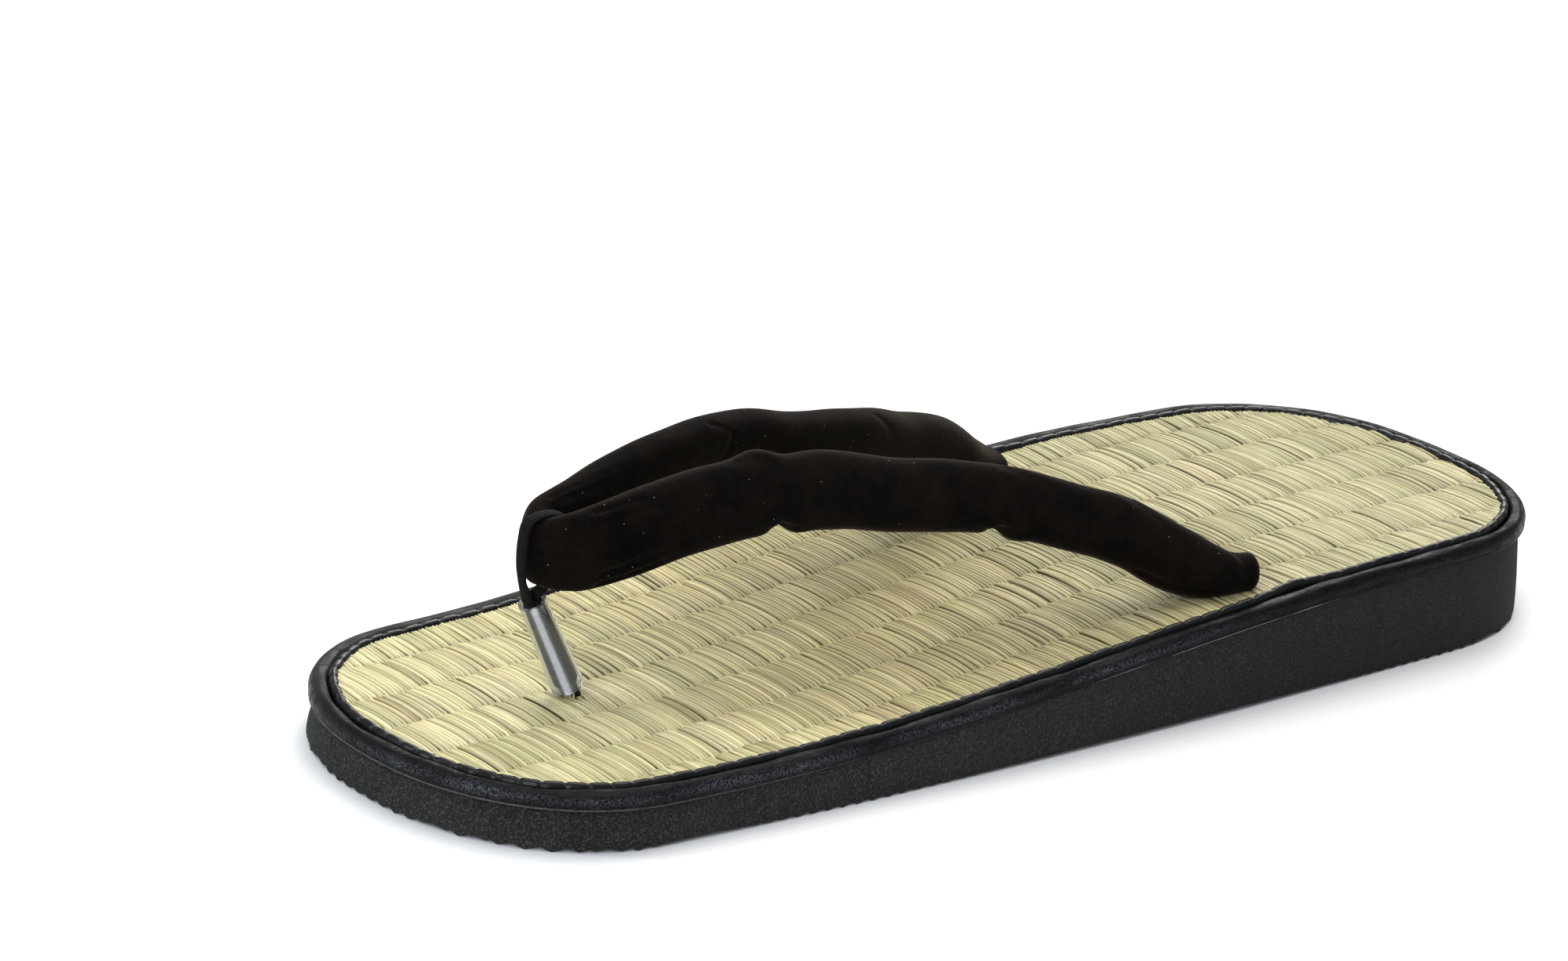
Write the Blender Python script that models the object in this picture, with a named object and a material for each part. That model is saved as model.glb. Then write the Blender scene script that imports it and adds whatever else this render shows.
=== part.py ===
"""Zori sandal: wedge sole, welt and binding round a rush mat, padded thong straps.

Metres, +Z up, the floor at z = 0. The toe points along -Y and the origin is at
the middle of the footprint. Lengths along the sandal are shares of soleLength,
counted from the toe tip, and widths across it are shares of halfWaist.
"""
from math import cos, pi, radians, sin

import bmesh
import bpy
import numpy as np
from mathutils import Vector

# plan of the sole
soleLength = 0.270
foreWidth = 0.092
waistWidth = 0.095
heelWidth = 0.094
widthStation = 0.060        # foreWidth and heelWidth are measured this far from mid-length
toeCap = 0.035              # length over which the toe rounds off
heelCap = 0.041
toeRound = 2.2              # exponent of the toe's rounding, 2 is an ellipse
heelRound = 2.4
capSteps = 9
sideSteps = 13

# thickness, floor to foot bed
toeThickness = 0.0108
heelThickness = 0.0213
rampStart = 0.170           # shares of soleLength between which the wedge climbs
rampEnd = 0.798

# foot bed
matThickness = 0.0030
matBands = 9                # raised bands of the rush, lengthwise
bandRelief = 0.0004
bindingWidth = 0.0018
bindingProud = 0.0007       # height of the binding over the mat
weltWidth = 0.0033
weltProud = 0.0002
clearance = 0.0003          # between pieces that meet

# side of the sole
toeOverhang = 0.0018        # how far the welt stands over the wall
waistOverhang = 0.0005
heelOverhang = 0.0013
toeReach = 0.30             # shares of soleLength over which the overhang fades to the waist's
heelReach = 0.25
footChamfer = 0.0008
rimChamfer = 0.0005         # the wall's top edge, under the welt
bellyHeight = 0.55          # share of the wall's height up to which it is nearly upright
bellyInset = 0.35           # share of the overhang that it has drawn in by there
weltChamfer = 0.0006        # the welt's lower edge

# The welt's roll, from its outer edge to its inner one: inset is a share of
# weltWidth and drop, under the top of the roll, of matThickness.
weltRows = (
    # inset, drop
    (0.00, 0.43),
    (0.15, 0.17),
    (0.45, 0.00),
    (0.80, 0.03),
    (1.00, 0.27),
)

# straps
strapHeight = 0.0165        # height of the padded tube, across its flat
strapThickness = 0.0088
strapRise = 0.0364          # middle of the tube over the mat, at the crown
foldThickness = 0.0055      # tube squeezed flat where the thong holds it
foldGap = 0.0022            # half the gap inside the front fold
foldStation = 0.1525        # share of soleLength at the middle of the front fold
foldRise = 0.806            # share of strapRise, at the fold's front
foldClimb = 0.030           # and what it gains round the fold
foldHeight = 0.72           # share of strapHeight, at the fold's front
foldSwell = 0.12
endDome = 0.0032            # length of the tube's rounded end
rootStation = 0.645         # the tail that goes down through the mat, under the tube's end
rootSpread = 0.740
rootLength = 0.0075         # section of the tail, along the sandal and across it
rootWidth = 0.0050
rootDepth = 0.0045          # below the top of the mat
rootReach = 0.0030          # above it, inside the tube

# thong between the toes
thongWidth = 0.0036
thongThickness = 0.0024
cordRadius = 0.00165
cordDepth = 0.0062
holeStation = 0.1685
sleeveLength = 0.0202
sleeveStandoff = 0.0022     # cord that shows under the sleeve
sleeveLean = 28.0           # degrees, the top towards the toe
sleeveTopRadius = 0.0026
sleeveFootRadius = 0.0031
sleeveWall = 0.0006

# One row for each section of a branch, from the front fold to the root.
# station is a share of soleLength, spread of halfWaist, rise of strapRise,
# height of strapHeight and thickness of strapThickness; lean is in degrees.
strapRows = (
    # station, spread, rise, height, thickness, lean
    (0.174, 0.125, 0.870, 0.86, 0.84, 2),
    (0.204, 0.160, 0.915, 0.88, 0.95, 8),
    (0.248, 0.200, 0.960, 0.90, 1.00, 14),
    (0.296, 0.250, 0.975, 0.88, 1.00, 20),
    (0.343, 0.290, 0.925, 0.87, 1.00, 22),
    (0.389, 0.320, 0.825, 0.83, 1.00, 22),
    (0.435, 0.360, 0.750, 0.81, 1.00, 22),
    (0.482, 0.425, 0.655, 0.79, 1.00, 22),
    (0.528, 0.510, 0.515, 0.75, 0.98, 20),
    (0.574, 0.595, 0.355, 0.75, 0.98, 20),
    (0.602, 0.665, 0.225, 0.77, 1.02, 23),
    (0.624, 0.720, 0.163, 0.67, 1.08, 26),
    (0.642, 0.750, 0.140, 0.54, 1.08, 24),
    (0.657, 0.765, 0.120, 0.44, 1.02, 14),
)

# Creases of the padding: where along a branch, which edge of the tube
# (1 the top, -1 the bottom), how far in and how long, as shares of strapHeight.
strapCreases = (
    # station, edge, depth, length
    (0.268, 1, -0.090, 0.25),
    (0.291, -1, 0.150, 0.17),
    (0.463, -1, 0.150, 0.17),
    (0.560, 1, -0.040, 0.35),
)

# The strip round the fold, in the plane x = 0: across runs from -1, the middle of
# the strip's front run, to 1, of its back run, up from -1 to 1 over the fold.
loopRows = (
    # place, across, up, size
    (0.00, -0.90, -0.80, 0.85),
    (0.10, -1.00, -0.40, 0.95),
    (0.25, -1.00, 0.35, 1.00),
    (0.40, -0.72, 0.90, 1.00),
    (0.50, 0.00, 1.00, 1.00),
    (0.60, 0.72, 0.90, 1.00),
    (0.75, 1.00, 0.35, 1.00),
    (0.90, 0.98, -0.40, 0.95),
    (1.00, 0.75, -0.80, 0.80),
)

loopSteps = 20
aroundLoop = 8
aroundCord = 12
aroundTail = 14
aroundSleeve = 20
aroundStrap = 14
stepsPerRow = 3
foldSteps = 8
padRound = 0.80             # exponent of the tube's section, 1 is an ellipse

halfWaist = waistWidth / 2
matInset = weltWidth + clearance + bindingWidth + clearance
matTopToSeat = matThickness + clearance


def clearScene():
    for old in list(bpy.data.objects):
        bpy.data.objects.remove(old, do_unlink=True)


def newCollection(name):
    group = bpy.data.collections.new(name)
    bpy.context.scene.collection.children.link(group)
    return group


def material(name, colour, roughness, metallic=0.0, alpha=1.0):
    made = bpy.data.materials.new(name)
    made.use_nodes = True
    shader = made.node_tree.nodes["Principled BSDF"]
    shader.inputs["Base Color"].default_value = (*colour, 1.0)
    shader.inputs["Roughness"].default_value = roughness
    shader.inputs["Metallic"].default_value = metallic
    shader.inputs["Alpha"].default_value = alpha
    made.diffuse_color = (*colour, 1.0)
    return made


def addObject(name, bm, group, finish=None, sharp=35.0):
    """Close a bmesh into a named object, its faces pointing outwards."""
    bmesh.ops.remove_doubles(bm, verts=bm.verts, dist=1e-7)
    bmesh.ops.recalc_face_normals(bm, faces=bm.faces)
    mesh = bpy.data.meshes.new(name)
    bm.to_mesh(mesh)
    bm.free()
    mesh.shade_smooth()
    mesh.set_sharp_from_angle(angle=radians(sharp))
    made = bpy.data.objects.new(name, mesh)
    if finish is not None:
        made.data.materials.append(finish)
    group.objects.link(made)
    return made


def cut(piece, cutter, operation="DIFFERENCE"):
    step = piece.modifiers.new(cutter.name, "BOOLEAN")
    step.operation = operation
    step.object = cutter
    step.solver = "EXACT"


def asCutter(made):
    made.hide_render = True
    made.display_type = "WIRE"
    return made


def alongY(station):
    return (station - 0.5) * soleLength


def smoothStep(share):
    share = np.clip(share, 0.0, 1.0)
    return share * share * (3.0 - 2.0 * share)


def bedLevel(y):
    """Height of the foot bed: flat at the toe and heel, a wedge between."""
    station = np.asarray(y) / soleLength + 0.5
    climb = smoothStep((station - rampStart) / (rampEnd - rampStart))
    return toeThickness + (heelThickness - toeThickness) * climb


def sideWidth(y):
    """Half width of the sides before the caps round them off, a parabola through three widths."""
    share = y / widthStation
    slope = (heelWidth - foreWidth) / 2
    bow = (heelWidth + foreWidth) / 2 - waistWidth
    return (waistWidth + slope * share + bow * share * share) / 2


def halfPlan():
    """Stations of the +X side, toe tip to heel tip, as x and y."""
    turn = np.linspace(pi / 2, 0.0, capSteps + 1)
    toeY = -soleLength / 2 + toeCap * (1.0 - np.sin(turn) ** (2 / toeRound))
    toeX = sideWidth(toeY) * np.cos(turn) ** (2 / toeRound)
    heelY = soleLength / 2 - heelCap * (1.0 - np.sin(turn[::-1]) ** (2 / heelRound))
    heelX = sideWidth(heelY) * np.cos(turn[::-1]) ** (2 / heelRound)
    sideY = np.linspace(toeY[-1], heelY[0], sideSteps + 1)[1:-1]
    x = np.concatenate([toeX, sideWidth(sideY), heelX])
    y = np.concatenate([toeY, sideY, heelY])
    x[0] = x[-1] = 0.0
    return x, y


def plan(inset):
    """The closed plan outline, moved inwards along its normals by inset, a number or f(y)."""
    x, y = halfPlan()
    x = np.concatenate([x, -x[-2:0:-1]])
    y = np.concatenate([y, y[-2:0:-1]])
    alongX = np.roll(x, -1) - np.roll(x, 1)
    alongOutline = np.roll(y, -1) - np.roll(y, 1)
    length = np.hypot(alongX, alongOutline)
    depth = inset(y) if callable(inset) else inset
    return x - depth * alongOutline / length, y + depth * alongX / length


def overhang(y):
    """How far the wall's top edge lies inside the welt: toe, waist and heel."""
    toe = smoothStep(1.0 - (y / soleLength + 0.5) / toeReach)
    heel = smoothStep((y / soleLength - 0.5) / heelReach + 1.0)
    return waistOverhang + (toeOverhang - waistOverhang) * toe + (heelOverhang - waistOverhang) * heel


def ringVerts(bm, inset, height):
    """One ring of vertices on the outline, at height(y)."""
    x, y = plan(inset)
    z = np.zeros_like(y) + height(y)
    return [bm.verts.new(point) for point in zip(x, y, z)]


def bridge(bm, lower, upper):
    count = len(lower)
    for i in range(count):
        j = (i + 1) % count
        bm.faces.new((lower[i], lower[j], upper[j], upper[i]))


def closeTube(bm, rings):
    """Join a tube's rings and close both its ends."""
    for lower, upper in zip(rings, rings[1:]):
        bridge(bm, lower, upper)
    bm.faces.new(rings[0])
    bm.faces.new(rings[-1])
    return bm


def cap(bm, ring):
    """Close a ring with strips across, between the two stations that share a y."""
    half = len(ring) // 2
    faces = [bm.faces.new((ring[0], ring[1], ring[-1]))]
    for i in range(1, half - 1):
        faces.append(bm.faces.new((ring[i], ring[i + 1], ring[-i - 1], ring[-i])))
    faces.append(bm.faces.new((ring[half - 1], ring[half], ring[half + 1])))
    return faces


def slab(rows):
    """A closed body from rings, bottom to top, each an inset and a height function."""
    bm = bmesh.new()
    rings = [ringVerts(bm, inset, height) for inset, height in rows]
    for lower, upper in zip(rings, rings[1:]):
        bridge(bm, lower, upper)
    cap(bm, rings[0])
    return bm, cap(bm, rings[-1])


def band(profile):
    """A closed ring round the foot bed; profile holds insets and heights over the bed."""
    bm = bmesh.new()
    rings = [ringVerts(bm, inset, lambda y, lift=lift: bedLevel(y) + lift) for inset, lift in profile]
    for lower, upper in zip(rings, rings[1:] + rings[:1]):
        bridge(bm, lower, upper)
    return bm


def makeSole(group):
    def seat(y):
        return bedLevel(y) - matTopToSeat

    rows = (
        (footChamfer, lambda y: 0.0),
        (0.0, lambda y: footChamfer),
        (lambda y: bellyInset * overhang(y), lambda y: bellyHeight * seat(y)),
        (overhang, lambda y: seat(y) - rimChamfer),
        (lambda y: overhang(y) + rimChamfer, seat),
    )
    bm, _ = slab(rows)
    return addObject("sole", bm, group, material("foam", (0.028, 0.028, 0.030), 0.82))


def makeWelt(group):
    foot = -matThickness
    profile = [(weltWidth, foot), (weltChamfer, foot), (0.0, foot + weltChamfer)]
    profile += [(inset * weltWidth, weltProud - drop * matThickness) for inset, drop in weltRows]
    return addObject("welt", band(profile), group, material("welt_vinyl", (0.032, 0.032, 0.034), 0.50))


def makeBinding(group):
    outer = weltWidth + clearance
    inner = outer + bindingWidth
    middle = (outer + inner) / 2
    shoulder = 0.28 * bindingWidth
    profile = (
        (inner, -matThickness),
        (outer, -matThickness),
        (outer, 0.0),
        (middle - shoulder, 0.75 * bindingProud),
        (middle, bindingProud),
        (middle + shoulder, 0.75 * bindingProud),
        (inner, 0.0),
    )
    return addObject("edge_binding", band(profile), group, material("binding", (0.020, 0.020, 0.021), 0.32))


def makeMat(group):
    """The rush mat, its bands raised by lowering the lines between them."""
    matFoot = -matThickness
    rows = (
        (matInset, lambda y: bedLevel(y) + matFoot),
        (matInset, lambda y: bedLevel(y) - bandRelief),
    )
    bm, top = slab(rows)
    bandWidth = 2 * (halfWaist - matInset) / matBands
    lines = (np.arange(1, 2 * matBands) - matBands) * bandWidth / 2
    for line in lines:
        near = list({edge for face in top if face.is_valid for edge in face.edges})
        ends = list({vert for edge in near for vert in edge.verts})
        bmesh.ops.bisect_plane(bm, geom=[f for f in top if f.is_valid] + near + ends, dist=1e-7,
                               plane_co=(line, 0, 0), plane_no=(1, 0, 0))
        bm.normal_update()
        top = [face for face in bm.faces if face.normal.z > 0.5]
    edge = {vert for face in bm.faces if abs(face.normal.z) < 0.5 for vert in face.verts}
    for vert in {vert for face in top for vert in face.verts} - edge:
        place = abs(vert.co.x) / (bandWidth / 2)
        if (round(place) + matBands) % 2 == 1 and abs(place - round(place)) < 0.01:
            vert.co.z += bandRelief
    return addObject("rush_mat", bm, group, material("rush", (0.62, 0.56, 0.33), 0.75), sharp=20.0)


def hermite(rows, at):
    """Smooth values between the rows of a table, whose first column is the place."""
    table = np.array(rows, dtype=float)
    place = table[:, 0]
    slope = np.gradient(table, place, axis=0)
    i = np.clip(np.searchsorted(place, at) - 1, 0, len(place) - 2)
    step = place[i + 1] - place[i]
    t = ((at - place[i]) / step)[:, None]
    step = step[:, None]
    return ((2 * t ** 3 - 3 * t ** 2 + 1) * table[i] + (t ** 3 - 2 * t ** 2 + t) * step * slope[i]
            + (3 * t ** 2 - 2 * t ** 3) * table[i + 1] + (t ** 3 - t ** 2) * step * slope[i + 1])


def branchSections():
    """Centre, height, thickness and lean of each ring of one branch, from the front fold to its end."""
    foldRadius = foldGap + foldThickness / 2
    foldY = alongY(foldStation)
    rows = []
    for turn in np.linspace(0.0, pi / 2, foldSteps // 2 + 1):
        grow = smoothStep(turn / (pi / 2))
        rows.append((foldRadius * sin(turn), foldY - foldRadius * cos(turn),
                     float(bedLevel(foldY)) + strapRise * (foldRise + foldClimb * grow),
                     strapHeight * (foldHeight + foldSwell * grow), foldThickness * (1.0 + foldSwell * grow), 0.0))
    at = np.linspace(0.0, 1.0, stepsPerRow * (len(strapRows) - 1) + 1)
    stations = np.interp(at, np.linspace(0, 1, len(strapRows)), [row[0] for row in strapRows])
    for station, spread, rise, height, thickness, lean in hermite(strapRows, stations):
        y = alongY(station)
        rows.append((spread * halfWaist, y, float(bedLevel(y)) + rise * strapRise,
                     height * strapHeight, thickness * strapThickness, radians(lean)))
    rows = np.array(rows)
    last = rows[-1]
    onward = last[:3] - rows[-2, :3]
    onward /= np.linalg.norm(onward)
    dome = [np.concatenate([last[:3] + onward * endDome * share, last[3:5] * (1 - share ** 2) ** 0.5, last[5:]])
            for share in (0.35, 0.70, 0.93)]
    return np.concatenate([rows, dome])


def creaseAt(y, edge):
    """How far an edge of the tube is drawn in at y, summed over the creases on that edge."""
    depth = np.zeros_like(y)
    for station, side, deep, length in strapCreases:
        if side == edge:
            depth += deep * np.exp(-((y - alongY(station)) / (length * strapHeight)) ** 2)
    return depth * strapHeight


def padSection(count):
    """The tube's section, a full ellipse of half sizes 1: along its height and its thickness."""
    turn = np.arange(count) * 2 * pi / count
    high = np.sign(np.cos(turn)) * np.abs(np.cos(turn)) ** padRound
    wide = np.sign(np.sin(turn)) * np.abs(np.sin(turn)) ** padRound
    return high, wide


def strapSkin():
    """Rings of the padded tube, swept from end to end round the front fold, as one array."""
    half = branchSections()
    mirrored = half[:0:-1] * np.array([-1, 1, 1, 1, 1, 1])
    path = np.concatenate([mirrored, half])
    centre, height, thickness, lean = path[:, :3], path[:, 3], path[:, 4], path[:, 5:6]
    run = np.gradient(centre, axis=0)
    run /= np.linalg.norm(run, axis=1)[:, None]
    heading = run[:, :2] / np.linalg.norm(run[:, :2], axis=1)[:, None]
    out = np.stack([heading[:, 1], -heading[:, 0], 0 * heading[:, 0]], 1)
    up = np.cross(out, run)
    up /= np.linalg.norm(up, axis=1)[:, None]
    out, up = out * np.cos(lean) + up * np.sin(lean), up * np.cos(lean) - out * np.sin(lean)
    high, wide = padSection(aroundStrap)
    y = centre[:, 1]
    reach = np.where(high > 0, (height / 2 - creaseAt(y, 1))[:, None], (height / 2 - creaseAt(y, -1))[:, None])
    return (centre[:, None] + up[:, None] * (high * reach)[..., None]
            + out[:, None] * (wide * thickness[:, None] / 2)[..., None])


def rootTail(side, low, high, gap):
    """The prism of a strap's tail, or with a gap round it of its slot, between two heights over the bed."""
    x, y = side * rootSpread * halfWaist, alongY(rootStation)
    bed = float(bedLevel(y))
    along, across = padSection(aroundTail)
    bm = bmesh.new()
    rings = [[bm.verts.new((x + w * (rootWidth / 2 + gap), y + h * (rootLength / 2 + gap), bed + lift))
              for h, w in zip(along, across)] for lift in (low, high)]
    return closeTube(bm, rings)


def makeStrap(group, cutters):
    """Both branches as one body, joined at the front fold, with a tail under each end."""
    bm = bmesh.new()
    rings = [[bm.verts.new(point) for point in ring] for ring in strapSkin()]
    strap = addObject("strap", closeTube(bm, rings), group, material("velvet", (0.008, 0.007, 0.008), 0.95), 60.0)
    for side, name in ((1, "tail_left"), (-1, "tail_right")):
        tail = addObject(name, rootTail(side, -rootDepth, rootReach, 0.0), cutters)
        cut(strap, asCutter(tail), "UNION")
    return strap


def thongAxis():
    """Where the cord meets the mat, and its direction up towards the toe."""
    y = alongY(holeStation)
    foot = Vector((0.0, y, float(bedLevel(y))))
    lean = radians(sleeveLean)
    return foot, Vector((0.0, -sin(lean), cos(lean)))


def tube(rows, sides, section=(1.0, 1.0)):
    """A tube through rows of centre, direction and radius, flattened by section, its ends closed."""
    bm = bmesh.new()
    rings = []
    for centre, along, radius in rows:
        across = Vector((1.0, 0.0, 0.0))
        deep = along.cross(across).normalized()
        ring = []
        for i in range(sides):
            turn = 2 * pi * i / sides
            reach = across * cos(turn) * section[0] + deep * sin(turn) * section[1]
            ring.append(bm.verts.new(centre + reach * radius))
        rings.append(ring)
    return bm, rings


def loopPath():
    """Centre line and size of the strip: out of the cord, up the front, over the fold and back."""
    foot, along = thongAxis()
    foldY = alongY(foldStation)
    half = (foldGap + foldThickness + clearance + thongThickness / 2) / 2
    rise = strapHeight * foldHeight / 2 + clearance + thongThickness / 2
    middle = Vector((0.0, foldY - half, float(bedLevel(foldY)) + strapRise * foldRise))
    places = np.linspace(0.0, 1.0, loopSteps + 1)
    points = [(middle + Vector((0.0, across * half, up * rise)), size)
              for _, across, up, size in hermite(loopRows, places)]
    mouth = foot + along * (sleeveStandoff + sleeveLength)
    split = Vector((0.0, along.z, -along.y)) * cordRadius * 0.45
    rim, sunk = mouth + along * cordRadius / 2, mouth - along * cordRadius
    return [(sunk - split, 0.55), (rim - split, 0.58)] + points + [(rim + split, 0.58), (sunk + split, 0.55)]


def makeThong(group, cutters):
    """The cord out of the mat and the strip that it becomes, looped round the front fold."""
    foot, along = thongAxis()
    mouth = sleeveStandoff + sleeveLength
    tail = [(foot + along * reach, along, cordRadius) for reach in (-cordDepth, sleeveStandoff, mouth)]
    thong = addObject("toe_thong", closeTube(*tube(tail, aroundCord)), group,
                      material("thong", (0.015, 0.014, 0.014), 0.80))
    path = loopPath()
    runs = [(after[0] - before[0]).normalized()
            for before, after in zip(path[:1] + path[:-1], path[1:] + path[-1:])]
    strip = [(point, run, size / 2) for (point, size), run in zip(path, runs)]
    bm = closeTube(*tube(strip, aroundLoop, (thongWidth, thongThickness)))
    cut(thong, asCutter(addObject("thong_loop", bm, cutters)), "UNION")
    return thong


def makeSleeve(group):
    """A clear tube over the cord: an outer and an inner cone, joined at both rims."""
    foot, along = thongAxis()
    rims = ((sleeveStandoff, sleeveFootRadius), (sleeveStandoff + sleeveLength, sleeveTopRadius))
    outer = [(foot + along * reach, along, radius) for reach, radius in rims]
    inner = [(foot + along * reach, along, radius - sleeveWall) for reach, radius in reversed(rims)]
    bm, rings = tube(outer + inner, aroundSleeve)
    for lower, upper in zip(rings, rings[1:] + rings[:1]):
        bridge(bm, lower, upper)
    return addObject("toe_sleeve", bm, group, material("clear_vinyl", (0.75, 0.78, 0.82), 0.08, alpha=0.4))


def makeHoles(cutters):
    """The slanted hole for the cord and the two slots for the strap's roots."""
    foot, along = thongAxis()
    rows = [(foot + along * reach, along, cordRadius + clearance)
            for reach in (-cordDepth - clearance, matThickness)]
    holes = [asCutter(addObject("cord_hole", closeTube(*tube(rows, aroundCord)), cutters))]
    for side, name in ((1, "slot_left"), (-1, "slot_right")):
        slot = rootTail(side, -rootDepth - clearance, matThickness, clearance)
        holes.append(asCutter(addObject(name, slot, cutters)))
    return holes


def main():
    clearScene()
    pieces = newCollection("zori_sandal")
    cutters = newCollection("cutters")
    sole = makeSole(pieces)
    mat = makeMat(pieces)
    makeWelt(pieces)
    makeBinding(pieces)
    makeStrap(pieces, cutters)
    makeThong(pieces, cutters)
    makeSleeve(pieces)
    for hole in makeHoles(cutters):
        cut(mat, hole)
        cut(sole, hole)


main()
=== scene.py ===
from math import cos, pi, radians, sin, tan

import bpy
import numpy as np
from mathutils import Matrix, Vector


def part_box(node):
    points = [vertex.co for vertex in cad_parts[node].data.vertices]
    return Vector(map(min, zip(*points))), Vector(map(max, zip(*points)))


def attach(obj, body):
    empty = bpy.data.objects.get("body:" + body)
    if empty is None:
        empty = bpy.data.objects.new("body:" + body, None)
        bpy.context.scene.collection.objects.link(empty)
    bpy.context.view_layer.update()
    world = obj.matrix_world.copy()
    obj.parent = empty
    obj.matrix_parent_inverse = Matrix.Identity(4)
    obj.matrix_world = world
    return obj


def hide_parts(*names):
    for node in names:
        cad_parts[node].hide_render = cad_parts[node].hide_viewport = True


# The looks of a zori sandal. Metres, the toe towards -Y, the floor at z = 0.
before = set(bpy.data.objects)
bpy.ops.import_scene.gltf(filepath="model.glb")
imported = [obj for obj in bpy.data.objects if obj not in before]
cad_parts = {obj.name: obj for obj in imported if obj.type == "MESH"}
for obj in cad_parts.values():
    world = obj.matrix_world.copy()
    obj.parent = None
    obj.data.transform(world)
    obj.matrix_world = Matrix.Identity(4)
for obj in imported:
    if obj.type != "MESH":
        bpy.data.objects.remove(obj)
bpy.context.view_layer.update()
soleLow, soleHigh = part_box("sole")

footprint = {
    "length": soleHigh.y - soleLow.y,
    "foreWidth": 0.092,
    "waistWidth": 0.095,
    "heelWidth": 0.094,
    "widthStation": 0.060,  # foreWidth and heelWidth lie this far from mid-length
    "toeCap": 0.035,  # length over which the toe rounds off
    "heelCap": 0.041,
    "toeRound": 2.2,  # exponent of the rounding, 2 is an ellipse
    "heelRound": 2.4,
}
bed = {
    "toeLevel": 0.0108,
    "heelLevel": 0.0213,
    "rampStart": 0.170,  # shares of the length between which the wedge climbs
    "rampEnd": 0.798,
    "matThickness": 0.0030,
    "weltWidth": 0.0033,
    "bindingWidth": 0.0018,
    "clearance": 0.0003,
}
halfWaist = footprint["waistWidth"] / 2
bindingStart = bed["weltWidth"] + bed["clearance"]
matInset = bindingStart + bed["bindingWidth"] + bed["clearance"]


def alongY(station):  # station is a share of the length, 0 at the toe
    return (station - 0.5) * footprint["length"]


def smoothStep(share):  # 3 s squared less 2 s cubed, held between 0 and 1
    share = np.clip(share, 0.0, 1.0)
    return share * share * (3.0 - 2.0 * share)


def bump(distance, width):  # a soft hump, 1 in the middle and gone after about two widths
    return np.exp(-(distance / width) ** 2)


def blend(first, second, share):  # first where share is 0, second where it is 1
    first = np.asarray(first)
    return first + (np.asarray(second) - first) * share


def unit(vectors):  # each row over its length
    return vectors / np.linalg.norm(vectors, axis=1)[:, None]


def bedLevel(y):  # level at the toe and the heel, with a smooth climb between
    share = np.asarray(y) / footprint["length"] + 0.5
    climb = smoothStep((share - bed["rampStart"]) / (bed["rampEnd"] - bed["rampStart"]))
    return bed["toeLevel"] + (bed["heelLevel"] - bed["toeLevel"]) * climb


def sideWidth(y):  # half width, a parabola through the three widths
    share = y / footprint["widthStation"]
    slope = (footprint["heelWidth"] - footprint["foreWidth"]) / 2
    bow = (footprint["heelWidth"] + footprint["foreWidth"]) / 2 - footprint["waistWidth"]
    return (footprint["waistWidth"] + slope * share + bow * share * share) / 2


def halfOutline(steps=160):  # toe tip to heel tip on the +X side: two superellipse caps and the side
    turn = np.linspace(pi / 2, 0.0, steps)
    half = footprint["length"] / 2
    toeY = -half + footprint["toeCap"] * (1 - np.sin(turn) ** (2 / footprint["toeRound"]))
    toeX = sideWidth(toeY) * np.cos(turn) ** (2 / footprint["toeRound"])
    heelY = half - footprint["heelCap"] * (1 - np.sin(turn[::-1]) ** (2 / footprint["heelRound"]))
    heelX = sideWidth(heelY) * np.cos(turn[::-1]) ** (2 / footprint["heelRound"])
    sideY = np.linspace(toeY[-1], heelY[0], steps)[1:-1]
    return np.concatenate([toeX, sideWidth(sideY), heelX]), np.concatenate([toeY, sideY, heelY])


def outline(count):  # the whole outline in even steps from the toe tip, with its outward normals
    x, y = halfOutline()
    x, y = np.concatenate([x, -x[-2::-1]]), np.concatenate([y, y[-2::-1]])
    reach = np.concatenate([[0.0], np.cumsum(np.hypot(np.diff(x), np.diff(y)))])
    at = np.arange(count) / count * reach[-1]
    x, y = np.interp(at, reach, x), np.interp(at, reach, y)
    acrossStep, alongStep = np.roll(x, -1) - np.roll(x, 1), np.roll(y, -1) - np.roll(y, 1)
    length = np.hypot(acrossStep, alongStep)
    return x, y, alongStep / length, -acrossStep / length, at


def matReach(y, inset=matInset):  # half width at y of the outline moved in by inset
    x, edgeY, outX, outY, _ = outline(1200)
    near = x > 0
    x, edgeY = (x - inset * outX)[near], (edgeY - inset * outY)[near]
    return np.interp(y, edgeY, x, left=0.0, right=0.0)


# Meshes
def latticeFaces(rows, columns, wrapRows=False, wrapColumns=False):  # quads of a grid, as vertex numbers
    index = np.arange(rows * columns).reshape(rows, columns)
    if wrapRows:
        index = np.concatenate([index, index[:1]])
    if wrapColumns:
        index = np.concatenate([index, index[:, :1]], axis=1)
    return np.stack([index[:-1, :-1], index[:-1, 1:], index[1:, 1:], index[1:, :-1]], -1).reshape(-1, 4)


def newMesh(name, points, faces, extra=(), sharp=None):  # extra holds faces of other sizes, such as caps
    mesh = bpy.data.meshes.new(name)
    mesh.from_pydata(points.reshape(-1, 3).tolist(), [], faces.tolist() + [list(face) for face in extra])
    mesh.shade_smooth()
    if sharp is not None:
        mesh.set_sharp_from_angle(angle=radians(sharp))
    return mesh


def newObject(name, data):  # an object in the scene
    made = bpy.data.objects.new(name, data)
    bpy.context.scene.collection.objects.link(made)
    return made


def newPiece(name, mesh, finish, node=None):  # a visible piece, in place of a CAD node if one is named
    piece = newObject(name, mesh)
    mesh.materials.clear()
    mesh.materials.append(finish)
    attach(piece, "root")
    if node is not None:
        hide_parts(node)
    print("made", name, len(mesh.polygons), "faces")
    return piece


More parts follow.
